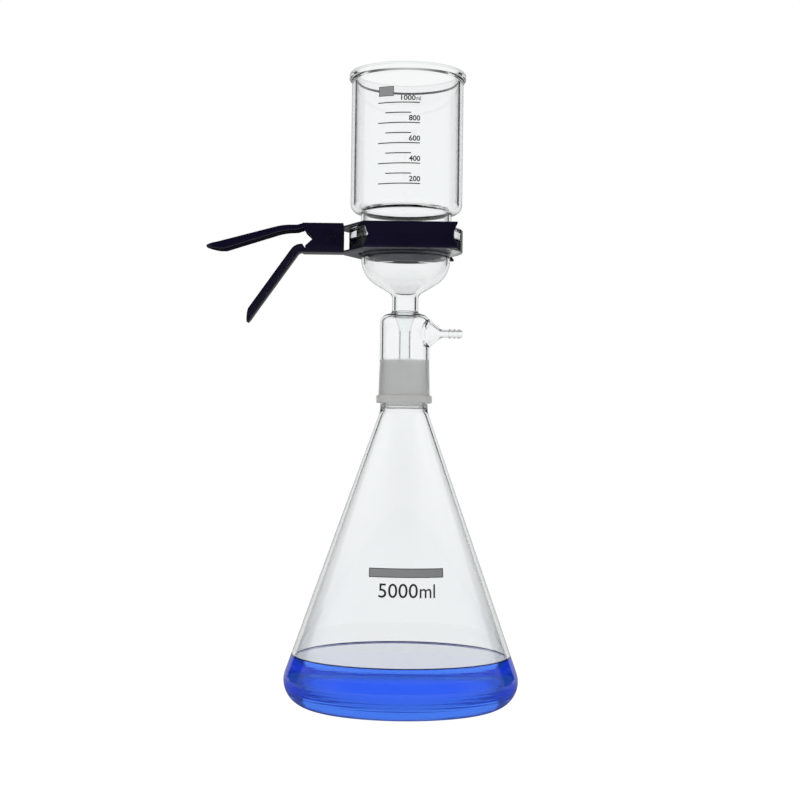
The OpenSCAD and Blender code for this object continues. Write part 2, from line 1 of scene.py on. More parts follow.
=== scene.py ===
"""The looks of a vacuum filtration unit: clear glass, blue filtrate, ground joint, sintered disc
and an anodised clamp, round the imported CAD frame. Lengths are in millimetres up to the mesh
builders, which make metres of them; materials, floor, lights and camera are in metres. +Z is up,
the glass axis is Z, the handles point along -X.
"""

import math

import bmesh
import bpy
from mathutils import Matrix, Vector


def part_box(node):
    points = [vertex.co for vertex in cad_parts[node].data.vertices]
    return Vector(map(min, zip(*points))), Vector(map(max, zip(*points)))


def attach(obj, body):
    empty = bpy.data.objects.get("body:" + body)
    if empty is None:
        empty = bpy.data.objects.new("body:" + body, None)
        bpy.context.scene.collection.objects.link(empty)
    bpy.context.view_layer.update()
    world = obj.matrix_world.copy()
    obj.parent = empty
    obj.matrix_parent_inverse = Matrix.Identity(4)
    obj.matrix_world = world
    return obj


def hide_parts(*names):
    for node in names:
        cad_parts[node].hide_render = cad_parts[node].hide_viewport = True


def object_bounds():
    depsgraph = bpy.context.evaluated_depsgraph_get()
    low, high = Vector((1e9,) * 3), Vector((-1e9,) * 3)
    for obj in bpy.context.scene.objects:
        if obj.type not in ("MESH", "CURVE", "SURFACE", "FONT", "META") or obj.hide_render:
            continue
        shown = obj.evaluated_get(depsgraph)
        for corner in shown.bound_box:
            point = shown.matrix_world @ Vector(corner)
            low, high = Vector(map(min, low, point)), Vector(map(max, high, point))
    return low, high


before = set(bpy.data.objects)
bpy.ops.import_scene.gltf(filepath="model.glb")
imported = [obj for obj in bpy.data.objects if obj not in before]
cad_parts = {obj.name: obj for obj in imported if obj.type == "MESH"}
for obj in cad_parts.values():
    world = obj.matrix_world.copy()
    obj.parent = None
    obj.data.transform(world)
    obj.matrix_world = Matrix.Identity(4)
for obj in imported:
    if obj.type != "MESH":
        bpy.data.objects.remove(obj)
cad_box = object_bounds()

MM = 0.001
TURNS = 192  # segments round a turned piece
FEW_TURNS = 64  # round a small one
ROUND_STEP = math.radians(7)  # between the points of a rounded corner
ON_AXIS = 1e-6  # a radius below this is a point on the axis
WELD = 3e-6  # metres, between points of a CAD mesh that are one
LIP_REACH, LIP_GAP = 0.55, 0.06  # a lip's points this near the middle are put this far from it


def levels(node):
    """The lowest corner and highest corner of a CAD node, in millimetres."""
    low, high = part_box(node)
    return low / MM, high / MM


flask_high = levels("flask")[1]
liquid_low, liquid_high = levels("filtrate")
base_low, base_high = levels("filter_base")
frit_low, frit_high = levels("frit_disc")
membrane_low, membrane_high = levels("membrane_filter")
cup_low, cup_high = levels("cup")
pin_low, pin_high = levels("hinge_pin")
pin_centre = (pin_low + pin_high) / 2
lips_meet = (membrane_low.z + membrane_high.z) / 2
lips_meet_y = base_high.y + 0.5  # further out than this, the lips of the closed clamp face each other


# ---- mesh builders ----


def rounded(corners):
    """The outline through corners (x, y, radius), each rounded by its radius, arcs finely cut."""
    points = []
    for i, (x, y, r) in enumerate(corners):
        b = Vector((x, y))
        if r == 0:
            points.append(b)
            continue
        u = (Vector(corners[i - 1][:2]) - b).normalized()
        v = (Vector(corners[(i + 1) % len(corners)][:2]) - b).normalized()
        half = u.angle(v) / 2
        centre = b + (u + v).normalized() * r / math.sin(half)
        p, q = (b + w * r / math.tan(half) - centre for w in (u, v))
        start = math.atan2(p.y, p.x)
        sweep = (math.atan2(q.y, q.x) - start + math.pi) % (2 * math.pi) - math.pi
        steps = max(2, math.ceil(abs(sweep) / ROUND_STEP))
        for k in range(steps + 1):
            angle = start + sweep * k / steps
            points.append(centre + r * Vector((math.cos(angle), math.sin(angle))))
    return points


def with_loops(points, edge=0.35, longest=14):
    """The same closed outline with extra points along its long stretches and near their ends, so
    that smooth shading bends only there."""
    out = []
    for i, a in enumerate(points):
        b = points[(i + 1) % len(points)]
        out.append(a)
        length = (b - a).length
        if length < 3 * edge or (a.x < ON_AXIS and b.x < ON_AXIS):
            continue
        cuts = max(1, math.ceil((length - 2 * edge) / longest))
        for k in range(cuts + 1):
            t = (edge + (length - 2 * edge) * k / cuts) / length
            out.append(a.lerp(b, t))
    return out


def linked(name, data):
    """A new object in the scene."""
    obj = bpy.data.objects.new(name, data)
    bpy.context.scene.collection.objects.link(obj)
    return obj


def finished(obj, name):
    """A mesh of the object with its modifiers applied, in place of the object."""
    graph = bpy.context.evaluated_depsgraph_get()
    made = bpy.data.meshes.new_from_object(obj.evaluated_get(graph))
    made.name = name
    bpy.data.objects.remove(obj)
    return made


def to_mesh(bm, name):
    mesh = bpy.data.meshes.new(name)
    bm.to_mesh(mesh)
    bm.free()
    return mesh


def on_circle(k, count):
    """The cosine and sine of step k out of count round a circle."""
    angle = 2 * math.pi * k / count
    return math.cos(angle), math.sin(angle)


def smooth(mesh, angle=32):
    """Smooth shading, with edges sharper than the angle in degrees kept."""
    mesh.polygons.foreach_set("use_smooth", [True] * len(mesh.polygons))
    mesh.set_sharp_from_angle(angle=math.radians(angle))
    mesh.update()


def lathe_mesh(name, corners, place=None, turns=None):
    """A closed mesh turned about Z from the half section (radius, height, rounding) in mm,
    moved to its place by a matrix in mm."""
    turns = turns or TURNS
    circle = [on_circle(k, turns) for k in range(turns)]
    bm = bmesh.new()
    rings = []
    for p in with_loops(rounded(corners)):
        if p.x < ON_AXIS:
            rings.append([bm.verts.new((0, 0, p.y))])
        else:
            rings.append([bm.verts.new((p.x * c, p.x * s, p.y)) for c, s in circle])
    for i, ring in enumerate(rings):
        after = rings[(i + 1) % len(rings)]
        if len(ring) == 1 and len(after) == 1:
            continue
        for k in range(turns):
            n = (k + 1) % turns
            if len(ring) == 1:
                bm.faces.new((ring[0], after[n], after[k]))
            elif len(after) == 1:
                bm.faces.new((ring[k], ring[n], after[0]))
            else:
                bm.faces.new((ring[k], ring[n], after[n], after[k]))
    bmesh.ops.recalc_face_normals(bm, faces=bm.faces)
    bm.transform(Matrix.Scale(MM, 4) @ (place or Matrix.Identity(4)))
    mesh = to_mesh(bm, name)
    smooth(mesh)
    return mesh


def combine(name, mesh, tool, operation):
    """The mesh after an exact boolean with a tool mesh."""
    obj = linked("combined", mesh)
    other = linked("tool", tool)
    step = obj.modifiers.new("step", "BOOLEAN")
    step.operation = operation
    step.solver = "EXACT"
    step.object = other
    made = finished(obj, name)
    bpy.data.objects.remove(other)
    smooth(made)
    return made


def sweep_mesh(name, path, radius, sides):
    """A round wire along a path in mm, with flat ends."""
    bm = bmesh.new()
    rings = []
    side = Vector((0, 1, 0))
    circle = [on_circle(k, sides) for k in range(sides)]
    for i, p in enumerate(path):
        along = (path[min(i + 1, len(path) - 1)] - path[max(i - 1, 0)]).normalized()
        u = (side - along * side.dot(along)).normalized()
        v = along.cross(u)
        rings.append([bm.verts.new((p + radius * (c * u + s * v)) * MM) for c, s in circle])
    for a, b in zip(rings, rings[1:]):
        for k in range(sides):
            n = (k + 1) % sides
            bm.faces.new((a[k], a[n], b[n], b[k]))
    bm.faces.new(rings[0])
    bm.faces.new(rings[-1])
    bmesh.ops.recalc_face_normals(bm, faces=bm.faces)
    mesh = to_mesh(bm, name)
    smooth(mesh, 50)
    return mesh


def refined_copy(node, name, bevel):
    """A copy of a CAD node's mesh, welded, with softly rounded edges."""
    bm = bmesh.new()
    bm.from_mesh(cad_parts[node].data)
    bmesh.ops.remove_doubles(bm, verts=bm.verts, dist=WELD)
    bmesh.ops.dissolve_limit(bm, angle_limit=math.radians(0.6), verts=bm.verts, edges=bm.edges)
    obj = linked("refined", to_mesh(bm, name))
    step = obj.modifiers.new("edges", "BEVEL")
    step.width = bevel * MM
    step.segments = 2
    step.limit_method = "ANGLE"
    step.angle_limit = math.radians(48)
    step.use_clamp_overlap = True
    made = finished(obj, name)
    made.materials.clear()
    for v in made.vertices:  # the lips of the closed clamp all but touch
        off = v.co.z / MM - lips_meet
        if abs(off) < LIP_REACH and abs(v.co.y) / MM > lips_meet_y:
            v.co.z = (lips_meet + math.copysign(LIP_GAP, off)) * MM
    smooth(made, 38)
    return made


# ---- materials ----


def plug(tree, socket, value):
    """Links a socket's value, or sets it where it is a plain one."""
    if isinstance(value, bpy.types.NodeSocket):
        tree.links.new(value, socket)
    else:
        socket.default_value = value


def add_node(tree, kind, inputs, settings):
    made = tree.nodes.new(kind)
    for key, value in settings.items():
        setattr(made, key, value)
    for key, value in dict(inputs).items():
        plug(tree, made.inputs[key], value)
    return made


class Maker:
    """Short calls for building one material's node tree."""

    def __init__(self, name):
        self.material = bpy.data.materials.new(name)
        self.material.use_nodes = True
        self.tree = self.material.node_tree
        self.shader = self.tree.nodes["Principled BSDF"]
        self.output = self.tree.nodes["Material Output"]
        self.where = self.tree.nodes.new("ShaderNodeTexCoord").outputs["Object"]

    def node(self, kind, inputs=(), **settings):
        return add_node(self.tree, kind, inputs, settings)

    def set(self, **values):
        """Sets the shader's sockets, named with _ for each space."""
        for key, value in values.items():
            plug(self.tree, self.shader.inputs[key.replace("_", " ")], value)

    def noise(self, scale, detail=3.0, rough=0.55, stretch=None):
        place = self.where
        if stretch:
            place = self.node("ShaderNodeMapping", {"Vector": self.where, "Scale": stretch}).outputs[0]
        return self.node("ShaderNodeTexNoise", {
            "Vector": place, "Scale": scale, "Detail": detail, "Roughness": rough}).outputs["Fac"]

    def grains(self, scale):
        return self.node("ShaderNodeTexVoronoi", {"Vector": self.where, "Scale": scale}).outputs["Distance"]

    def spread(self, value, low, high, start=0.3, end=0.7):
        """A value between start and end, spread over low to high."""
        return self.node("ShaderNodeMapRange", {
            "Value": value, "From Min": start, "From Max": end, "To Min": low, "To Max": high}).outputs[0]

    def blend(self, value, a, b):
        """Colour a where the value is 0, b where it is 1."""
        return self.node("ShaderNodeMix", {0: value, 6: a, 7: b}, data_type="RGBA").outputs[2]

    def bump(self, height, strength, depth, normal=None):
        inputs = {"Height": height, "Strength": strength, "Distance": depth}
        if normal is not None:
            inputs["Normal"] = normal
        return self.node("ShaderNodeBump", inputs).outputs[0]

    def absorb(self, colour, density):
        """Tints what is seen through the body of the piece."""
        made = self.node("ShaderNodeVolumeAbsorption", {"Color": colour, "Density": density})
        self.tree.links.new(made.outputs[0], self.output.inputs["Volume"])


def rgb(r, g, b):
    return (r, g, b, 1)


GLASS_IOR, WATER_IOR = 1.47, 1.333
GLASS_TINT = rgb(0.85, 0.862, 0.862)
GLASS_DENSITY = 18


def glass_material():
    m = Maker("clear_glass")
    drawn = m.noise(9, 2, stretch=(1, 1, 0.25))  # long waves left by drawing and blowing
    fine = m.noise(130, 3)
    dust = m.spread(m.noise(420, 4), 0.0, 0.02, 0.52, 0.75)
    m.set(Base_Color=m.blend(m.spread(fine, 0, 1), rgb(0.97, 0.985, 0.985), rgb(0.985, 0.995, 0.993)),
          Roughness=dust, Normal=m.bump(fine, 0.02, 0.00008, m.bump(drawn, 0.10, 0.0008)))
    m.set(Transmission_Weight=1.0, IOR=GLASS_IOR)
    m.absorb(GLASS_TINT, GLASS_DENSITY)
    return m.material


def frosted_material(name, pale, deep):
    """Ground glass: a grain too fine to see, a slow change of tone and a faint glow of painted light."""
    m = Maker(name)
    grain = m.noise(2400, 3, 0.6)
    cloud = m.noise(160, 3)
    m.set(Base_Color=m.blend(m.spread(cloud, 0, 1), deep, pale),
          Roughness=m.spread(grain, 0.26, 0.36),
          Normal=m.bump(grain, 0.4, 0.00004))
    # the faint white emission is painted light that brightens the ground glass
    m.set(Transmission_Weight=0.70, IOR=GLASS_IOR, Emission_Color=rgb(1, 1, 1), Emission_Strength=0.05)
    m.absorb(GLASS_TINT, GLASS_DENSITY)
    return m.material


def liquid_material(name, coat, clear, glow, pale, deep):
    """Dyed water. The glow stands for the light that bounces about inside it."""
    m = Maker(name)
    slow = m.noise(14, 2)
    m.set(Base_Color=m.blend(m.spread(slow, 0, 1), pale, deep),
          Roughness=m.spread(slow, 0.0, 0.01), Normal=m.bump(slow, 0.01, 0.0001))
    m.set(Transmission_Weight=clear, IOR=WATER_IOR, Coat_Weight=coat, Coat_Roughness=0.02, Coat_IOR=2.2,
          Emission_Color=rgb(0.035, 0.13, 0.9), Emission_Strength=glow)
    m.absorb(rgb(0.35, 0.50, 0.96), 0.6)
    return m.material


def sinter_material():
    m = Maker("sintered_glass")
    grain = m.grains(620)
    fine = m.noise(1500, 4, 0.7)
    cloud = m.noise(45, 3)
    m.set(Base_Color=m.blend(m.spread(grain, 0, 1, 0.05, 0.6),
                             rgb(0.004, 0.005, 0.008), rgb(0.05, 0.06, 0.08)),
          Roughness=m.spread(cloud, 0.55, 0.85),
          Normal=m.bump(grain, 0.8, 0.0004, m.bump(fine, 0.5, 0.0001)))
    m.set(Specular_IOR_Level=0.12)
    return m.material


def membrane_material():
    m = Maker("membrane")
    fibres = m.noise(1400, 5, 0.75)
    cloud = m.noise(80, 3)
    m.set(Base_Color=m.blend(m.spread(cloud, 0, 1), rgb(0.86, 0.86, 0.85), rgb(0.93, 0.93, 0.92)),
          Roughness=m.spread(fibres, 0.7, 0.95), Normal=m.bump(fibres, 0.3, 0.00005))
    return m.material


def anodised_material():
    m = Maker("anodised_aluminium")
    cloud = m.noise(30, 2)
    rolling = m.noise(420, 3, 0.6, stretch=(0.04, 1, 1))  # the sheet's rolling grain along X
    fine = m.noise(2200, 3, 0.7)
    dye = m.blend(m.spread(cloud, 0, 1), rgb(0.004, 0.003, 0.016), rgb(0.006, 0.004, 0.022))
    m.set(Base_Color=dye,
          Roughness=m.spread(cloud, 0.34, 0.40),
          Normal=m.bump(rolling, 0.06, 0.00005, m.bump(fine, 0.08, 0.00002)))
    m.set(IOR=1.45, Specular_IOR_Level=0.12, Coat_Weight=0.15, Coat_Roughness=0.2, Coat_IOR=1.5)
    return m.material


def steel_material():
    m = Maker("spring_steel")
    drawn = m.noise(700, 3, 0.6)
    m.set(Base_Color=m.blend(m.spread(drawn, 0, 1), rgb(0.55, 0.56, 0.58), rgb(0.70, 0.71, 0.73)),
          Roughness=m.spread(drawn, 0.22, 0.36), Normal=m.bump(drawn, 0.15, 0.00004))
    m.set(Metallic=1.0)
    return m.material


def enamel_material(name, deep, pale):
    m = Maker(name)
    grain = m.noise(1300, 3, 0.7)
    m.set(Base_Color=m.blend(m.spread(grain, 0, 1), deep, pale),
          Roughness=m.spread(grain, 0.6, 0.85), Normal=m.bump(grain, 0.2, 0.00003))
    m.set(Specular_IOR_Level=0.15)
    return m.material


glass = glass_material()
frosted = frosted_material("ground_glass", rgb(1.0, 1.0, 0.99), rgb(0.96, 0.955, 0.95))
# a darker copy of the ground glass: painted shade on the outside of the collar
frosted_collar_painted_shade = frosted_material("ground_glass_collar_painted_shade", rgb(0.74, 0.74, 0.73), rgb(0.66, 0.66, 0.65))
liquid = liquid_material(
    "blue_liquid", 0.0, 0.93, 0.12, rgb(0.075, 0.255, 0.96), rgb(0.085, 0.275, 0.98))
# a dark copy of the liquid: painted shade on the ring round the edge of its surface
liquid_rim_painted_shade = liquid_material(
    "blue_liquid_rim", 0.0, 0.55, 0.0, rgb(0.006, 0.012, 0.09), rgb(0.012, 0.022, 0.14))
# a pale copy of the liquid: a painted reflection on the middle of its surface
liquid_surface_painted_reflection = liquid_material(
    "blue_liquid_surface_painted_reflection", 1.0, 0.7, 0.0, rgb(0.60, 0.70, 0.96), rgb(0.66, 0.74, 0.98))
sinter = sinter_material()
paper = membrane_material()
anodised = anodised_material()
steel = steel_material()
enamel = enamel_material("enamel_print", rgb(0.02, 0.021, 0.023), rgb(0.036, 0.037, 0.04))
pale_enamel = enamel_material("pale_enamel_print", rgb(0.25, 0.255, 0.26), rgb(0.31, 0.315, 0.32))


def part(name, mesh, body, slot, materials, *nodes):
    """A finished piece that rides on a body and stands for the CAD nodes, if any."""
    for m in materials:
        mesh.materials.append(m)
    obj = linked(name, mesh)
    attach(obj, body)
    if nodes:
        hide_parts(*nodes)


def zone(mesh, index, inside):
    """Gives the faces whose centre lies inside(radius, height), in mm, the material of that index."""
    for face in mesh.polygons:
        c = face.center / MM
        if inside(math.hypot(c.x, c.y), c.z):
            face.material_index = index


# ---- flask ----

CONE_ANGLE = math.radians(19.5)
FLASK_WALL = 3.2
HEEL_R = 26
INNER_HEEL_R = 27
FOOT_R, FOOT_HOLLOW_R, FOOT_HOLLOW = 80, 72, 1.1  # it stands on a ring
NECK_R = 23.6
NECK_BORE_R = 18.4
NECK_LEN = 50
NECK_BLEND_R = 25
TAPER = 0.05

slope = math.tan(CONE_ANGLE)
side_wall = FLASK_WALL / math.cos(CONE_ANGLE)  # the wall measured along the radius
cone_foot_r = flask_high.x - HEEL_R + HEEL_R * (1 / math.cos(CONE_ANGLE) + slope)
neck_top = flask_high.z
neck_foot = neck_top - NECK_LEN
flask_floor = liquid_low.z + 3  # a thicker foot, as the clear band under the liquid shows
ground_foot = neck_foot + 6
frost_foot = base_low.z + 0.6  # the ground faces show from here up


def cone_r(z):
    return cone_foot_r - slope * z


def cone_inner_r(z):
    return cone_r(z) - side_wall


def ground_r(z):
    return NECK_R - TAPER * (z - ground_foot)


flask_mesh = lathe_mesh("flask_glass", [
    (0, FOOT_HOLLOW, 0),
    (FOOT_HOLLOW_R, FOOT_HOLLOW, 12),
    (FOOT_R, 0, 3),
    (cone_foot_r, 0, HEEL_R),
    (NECK_R, neck_foot, NECK_BLEND_R),
    (NECK_R, ground_foot, 0),
    (ground_r(frost_foot), frost_foot, 0),
    (ground_r(neck_top), neck_top, 0.8),
    (NECK_BORE_R, neck_top, 0.8),
    (NECK_BORE_R, (cone_foot_r - side_wall - NECK_BORE_R) / slope, NECK_BLEND_R + FLASK_WALL),
    (cone_inner_r(flask_floor), flask_floor, INNER_HEEL_R),
    (0, flask_floor, 0)])
zone(flask_mesh, 1, lambda r, z: z > frost_foot and r > NECK_BORE_R + 1.2)  # the ground face and the lip
part("flask_glass", flask_mesh, "root", "clear_glass", (glass, frosted), "flask")

# ---- filtrate, run a little into the glass so that no air shows between them ----

WET_LAP = 0.06
MENISCUS, MENISCUS_W, MENISCUS_EDGE = 1.2, 2.6, 0.3
surface = liquid_high.z


def wet_r(z):
    return cone_inner_r(z) + WET_LAP


liquid_mesh = lathe_mesh("filtrate_liquid", [
    (0, flask_floor - WET_LAP, 0),
    (wet_r(flask_floor - WET_LAP), flask_floor - WET_LAP, INNER_HEEL_R),
    (wet_r(surface), surface, 0),
    (wet_r(surface + MENISCUS), surface + MENISCUS, 0.1),
    (wet_r(surface + MENISCUS) - MENISCUS_EDGE, surface + MENISCUS, 0.1),
    (wet_r(surface) - MENISCUS_W, surface, 3),
    (0, surface, 0)])
# the middle of the surface gets the painted reflection, the ring round it the painted shade
surface_r = wet_r(surface) - 2
zone(liquid_mesh, 1, lambda r, z: z > surface - 0.05 and r < surface_r)
zone(liquid_mesh, 2, lambda r, z: z > surface - 0.05 and r > surface_r)
part("filtrate_liquid", liquid_mesh, "root", "blue_liquid", (liquid, liquid_surface_painted_reflection, liquid_rim_painted_shade), "filtrate")

# ---- filter base ----

COLLAR_R, COLLAR_H = 27.8, 7.5
SOCKET_R = 25.6
CAP_R, CAP_WALL, CAP_H, DOME_RISE = 24.8, 3.0, 44.5, 4
STEM_R, STEM_WALL, STEM_LEN = 13.2, 3.6, 18
BOWL_R, BOWL_WALL, BOWL_BEND = 44.5, 3.4, 28.4
BOWL_SLOPE = math.tan(math.radians(31))
DRIP_R, DRIP_WALL, DRIP_LEN = 6, 1.5, 36
NOZZLE_R, RIDGE_R, RIDGE_PITCH, NOZZLE_BORE_R, NOZZLE_DROP = 4, 4.7, 4.6, 2.6, 16.5
FLANGE_R, FLANGE_H = base_high.y, 11.3
JOINT_GAP = 0.1
FRIT_GAP = 0.1

collar = base_low.z
cap_top = neck_top + CAP_H
stem_foot = cap_top + DOME_RISE
bowl_foot = stem_foot + STEM_LEN
filter_z = base_high.z
base_flange = filter_z - FLANGE_H
frit_floor = frit_low.z
frit_seat_r = frit_high.x + FRIT_GAP
nozzle_z = cap_top - NOZZLE_DROP
drip_end = neck_top - DRIP_LEN
socket_top = neck_top + 1.5
cap_in_r, stem_in_r, bowl_in_r = CAP_R - CAP_WALL, STEM_R - STEM_WALL, BOWL_R - BOWL_WALL
drip_in_r = DRIP_R - DRIP_WALL
drip_root_r = stem_in_r + DRIP_WALL - 0.5
LEDGE_W, LEDGE_H = 1.6, 3.2


def bowl_z(r):
    return bowl_foot + (r - STEM_R) * BOWL_SLOPE


def bowl_inner_z(r):
    return bowl_z(r) + BOWL_WALL / math.cos(math.atan(BOWL_SLOPE))


def dome_z(r):
    return cap_top + DOME_RISE * (CAP_R - r) / (CAP_R - STEM_R)


base_mesh = lathe_mesh("filter_base_glass", [
    # outside, from the collar up
    (COLLAR_R, collar, 1.4),
    (COLLAR_R, collar + COLLAR_H, 1.6),
    (SOCKET_R, collar + COLLAR_H + 0.6, 0.4),
    (CAP_R, neck_top, 0),
    (CAP_R, cap_top, 8.5),
    (STEM_R, stem_foot, 2.5),
    (STEM_R, bowl_foot, 6),
    (BOWL_R, bowl_z(BOWL_R), BOWL_BEND),
    (BOWL_R, base_flange, 2),
    (FLANGE_R, base_flange, 1.5),
    (FLANGE_R, filter_z, 0.6),
    # the way of the filtrate, down to the drip tube's mouth
    (frit_seat_r, filter_z, 0.3),
    (frit_seat_r, frit_floor, 0),
    (frit_seat_r - LEDGE_W, frit_floor, 0),
    (frit_seat_r - LEDGE_W, frit_floor - 1, 0.6),
    (bowl_in_r, frit_floor - LEDGE_H, 0.8),
    (bowl_in_r, bowl_inner_z(bowl_in_r), BOWL_BEND - BOWL_WALL),
    (stem_in_r, bowl_inner_z(stem_in_r), 6 + BOWL_WALL),
    (stem_in_r, cap_top + 1, 6),
    (drip_in_r, cap_top - NOZZLE_DROP + 2, 6),
    (drip_in_r, drip_end, 0.5),
    # the vacuum chamber, back down to the collar
    (DRIP_R, drip_end, 0.5),
    (DRIP_R, cap_top - NOZZLE_DROP + 1, 6),
    (drip_root_r, dome_z(drip_root_r) - CAP_WALL, 1.5),
    (cap_in_r, dome_z(cap_in_r) - CAP_WALL, 5.5),
    (cap_in_r, socket_top, 0),
    (ground_r(socket_top) + JOINT_GAP, socket_top, 0),
    (ground_r(frost_foot) + JOINT_GAP, frost_foot, 0),
    (ground_r(collar) + JOINT_GAP, collar, 0.3)])

# the nozzle, turned about X, from inside the chamber's wall
FLARE_START, FLARE_BEND, FLARE_END = 17.5, 24, CAP_R + 11.4
FLARE_ROOT_R, FLARE_BEND_R, FLARE_WALL = 17.3, 14.6, 2.4
TIP_LEN, RIDGE_LEN, RIDGE_SLOPE = 1.6, 3, 2.2
nozzle_tip = base_high.x
to_nozzle = Matrix.Translation((0, 0, nozzle_z)) @ Matrix.Rotation(math.radians(90), 4, "Y")
ridges = []
for k in (2, 1, 0):
    x = nozzle_tip - TIP_LEN - k * RIDGE_PITCH
    ridges += [(NOZZLE_R, x - RIDGE_LEN, 0.2), (RIDGE_R, x - RIDGE_SLOPE, 0.4), (NOZZLE_R, x, 0.4)]
nozzle_mesh = lathe_mesh("nozzle", [
    (0, FLARE_START, 0),
    (FLARE_ROOT_R, FLARE_START, 0),
    (FLARE_BEND_R, FLARE_BEND, 4),
    (NOZZLE_R, FLARE_END, 7),
    *ridges,
    (NOZZLE_R, nozzle_tip, 0.8),
    (0, nozzle_tip, 0)], to_nozzle, FEW_TURNS)
# cuts the flare off inside the wall, so that nothing of it stands in the chamber
IN_WALL, REACH = CAP_R - 2, 30
wall_middle = lathe_mesh("wall_middle", [
    (0, nozzle_z - REACH, 0), (IN_WALL, nozzle_z - REACH, 0),
    (IN_WALL, nozzle_z + REACH, 0), (0, nozzle_z + REACH, 0)])
nozzle_bore = lathe_mesh("nozzle_bore", [
    (0, FLARE_START - 1, 0),
    (FLARE_ROOT_R - FLARE_WALL, FLARE_START - 1, 0),
    (FLARE_BEND_R - FLARE_WALL, FLARE_BEND - 0.6, 4),
    (NOZZLE_BORE_R, FLARE_END - 1.8, 5),
    (NOZZLE_BORE_R, nozzle_tip + 1, 0),
    (0, nozzle_tip + 1, 0)], to_nozzle, FEW_TURNS)
nozzle_mesh = combine("nozzle", nozzle_mesh, wall_middle, "DIFFERENCE")
base_mesh = combine("filter_base_glass", base_mesh, nozzle_mesh, "UNION")
base_mesh = combine("filter_base_glass", base_mesh, nozzle_bore, "DIFFERENCE")
base_mesh.materials.clear()
zone(base_mesh, 1,
     lambda r, z: frost_foot < z < socket_top + 0.01 and abs(r - ground_r(z) - JOINT_GAP) < 0.3)
# the collar's outside gets the darker ground glass, painted shade
zone(base_mesh, 2, lambda r, z: z < collar + COLLAR_H + 0.7 and r > SOCKET_R - 0.1)
part("filter_base_glass", base_mesh, "root", "clear_glass", (glass, frosted, frosted_collar_painted_shade), "filter_base")

# ---- sintered disc and membrane ----

FUSED = 0.04  # the disc is fused into the glass of its seat
fused_r, fused_z = frit_seat_r + FUSED, frit_low.z - FUSED
part("frit_disc_sintered", lathe_mesh("frit_disc_sintered", [
    (0, fused_z, 0), (fused_r, fused_z, 0.7), (fused_r, frit_high.z, 0.3), (0, frit_high.z, 0)]),
    "root", "sintered_glass", (sinter,), "frit_disc")
part("membrane_disc", lathe_mesh("membrane_disc", [
    (0, membrane_low.z, 0), (membrane_high.x, membrane_low.z, 0), (membrane_high.x, membrane_high.z, 0),
    (0, membrane_high.z, 0)]), "root", "membrane", (paper,), "membrane_filter")

# ---- cup ----

CUP_R, CUP_WALL = 56, 4.8
CUP_NECK_R, CUP_NECK_WALL, CUP_NECK_H = 45.5, 3.6, 16
SHOULDER_R, SHOULDER_RISE = 9.5, 0.8
RIM_H, RIM_FOOT, RIM_LIFT = 7, 2.4, 0.4
cup_flange = cup_low.z + FLANGE_H
shoulder = cup_flange + CUP_NECK_H
cup_in_r, cup_neck_in_r = CUP_R - CUP_WALL, CUP_NECK_R - CUP_NECK_WALL

part("cup_glass", lathe_mesh("cup_glass", [
    (cup_neck_in_r, cup_low.z, 0.3),
    (FLANGE_R, cup_low.z, 0.6),
    (FLANGE_R, cup_flange, 1.5),
    (CUP_NECK_R, cup_flange, 2),
    (CUP_NECK_R, shoulder, 1.2),
    (CUP_R, shoulder + SHOULDER_RISE, SHOULDER_R),
    (CUP_R, cup_high.z - RIM_H - RIM_FOOT, 1.6),
    (cup_high.x, cup_high.z - RIM_H + RIM_LIFT, 1.4),
    (cup_high.x, cup_high.z, 2.6),
    (cup_in_r, cup_high.z, 3),
    (cup_in_r, shoulder + CUP_NECK_WALL + SHOULDER_RISE, SHOULDER_R - CUP_NECK_WALL),
    (cup_neck_in_r, shoulder + CUP_NECK_WALL, 3)]), "root", "clear_glass", (glass,), "cup")

# ---- clamp ----

SHEET_BEVEL = 0.16
for jaw in ("upper_jaw", "lower_jaw"):
    part(jaw + "_sheet", refined_copy(jaw, jaw + "_sheet", SHEET_BEVEL),
         jaw, "anodised_aluminium", (anodised,), jaw)

# the lathe's axis laid along the pin
across = Matrix.Translation((pin_centre.x, 0, pin_centre.z)) @ Matrix.Rotation(math.radians(-90), 4, "X")
PIN_R = 2.5
HEAD_H = 1.2
head_r = (pin_high.x - pin_low.x) / 2
end = pin_high.y
part("hinge_rivet", lathe_mesh("hinge_rivet", [
    (0, -end, 0), (head_r, -end, 0.8), (head_r, HEAD_H - end, 0.15), (PIN_R, HEAD_H - end, 0),
    (PIN_R, end - HEAD_H, 0), (head_r, end - HEAD_H, 0.15), (head_r, end, 0.8), (0, end, 0)],
    across, FEW_TURNS), "lower_jaw", "anodised_aluminium", (anodised,), "hinge_pin")

washer_low, washer_high = levels("hinge_washers")
washer_r = (washer_high.x - washer_low.x) / 2
WASHER_T = 0.8
washer_in = PIN_R + 0.05
washers = bmesh.new()
for y in (washer_low.y, washer_high.y - WASHER_T):
    washers.from_mesh(lathe_mesh("washer", [
        (washer_in, y, 0.1), (washer_r, y, 0.2), (washer_r, y + WASHER_T, 0.2),
        (washer_in, y + WASHER_T, 0.1)], across, FEW_TURNS))
washer_pair = to_mesh(washers, "hinge_washer_pair")
smooth(washer_pair)
part("hinge_washer_pair", washer_pair, "lower_jaw", "anodised_aluminium", (anodised,), "hinge_washers")

# the spring, from the pin's centre: a coil with a leg for each jaw
WIRE_R, WIRE_SIDES = 0.8, 14
COIL_R, COIL_PITCH, COIL_TURNS, COIL_STEPS = 5, 2, 8, 300
UPPER_TURN, LOWER_TURN = 76, -72  # where the legs leave the coil, in degrees
LEG, UPPER_SEAT, LOWER_SEAT = 22, 11.5, -12.9  # where they end, along and up
total_turn = 360 * COIL_TURNS + UPPER_TURN - LOWER_TURN
coil_w = total_turn / 360 * COIL_PITCH


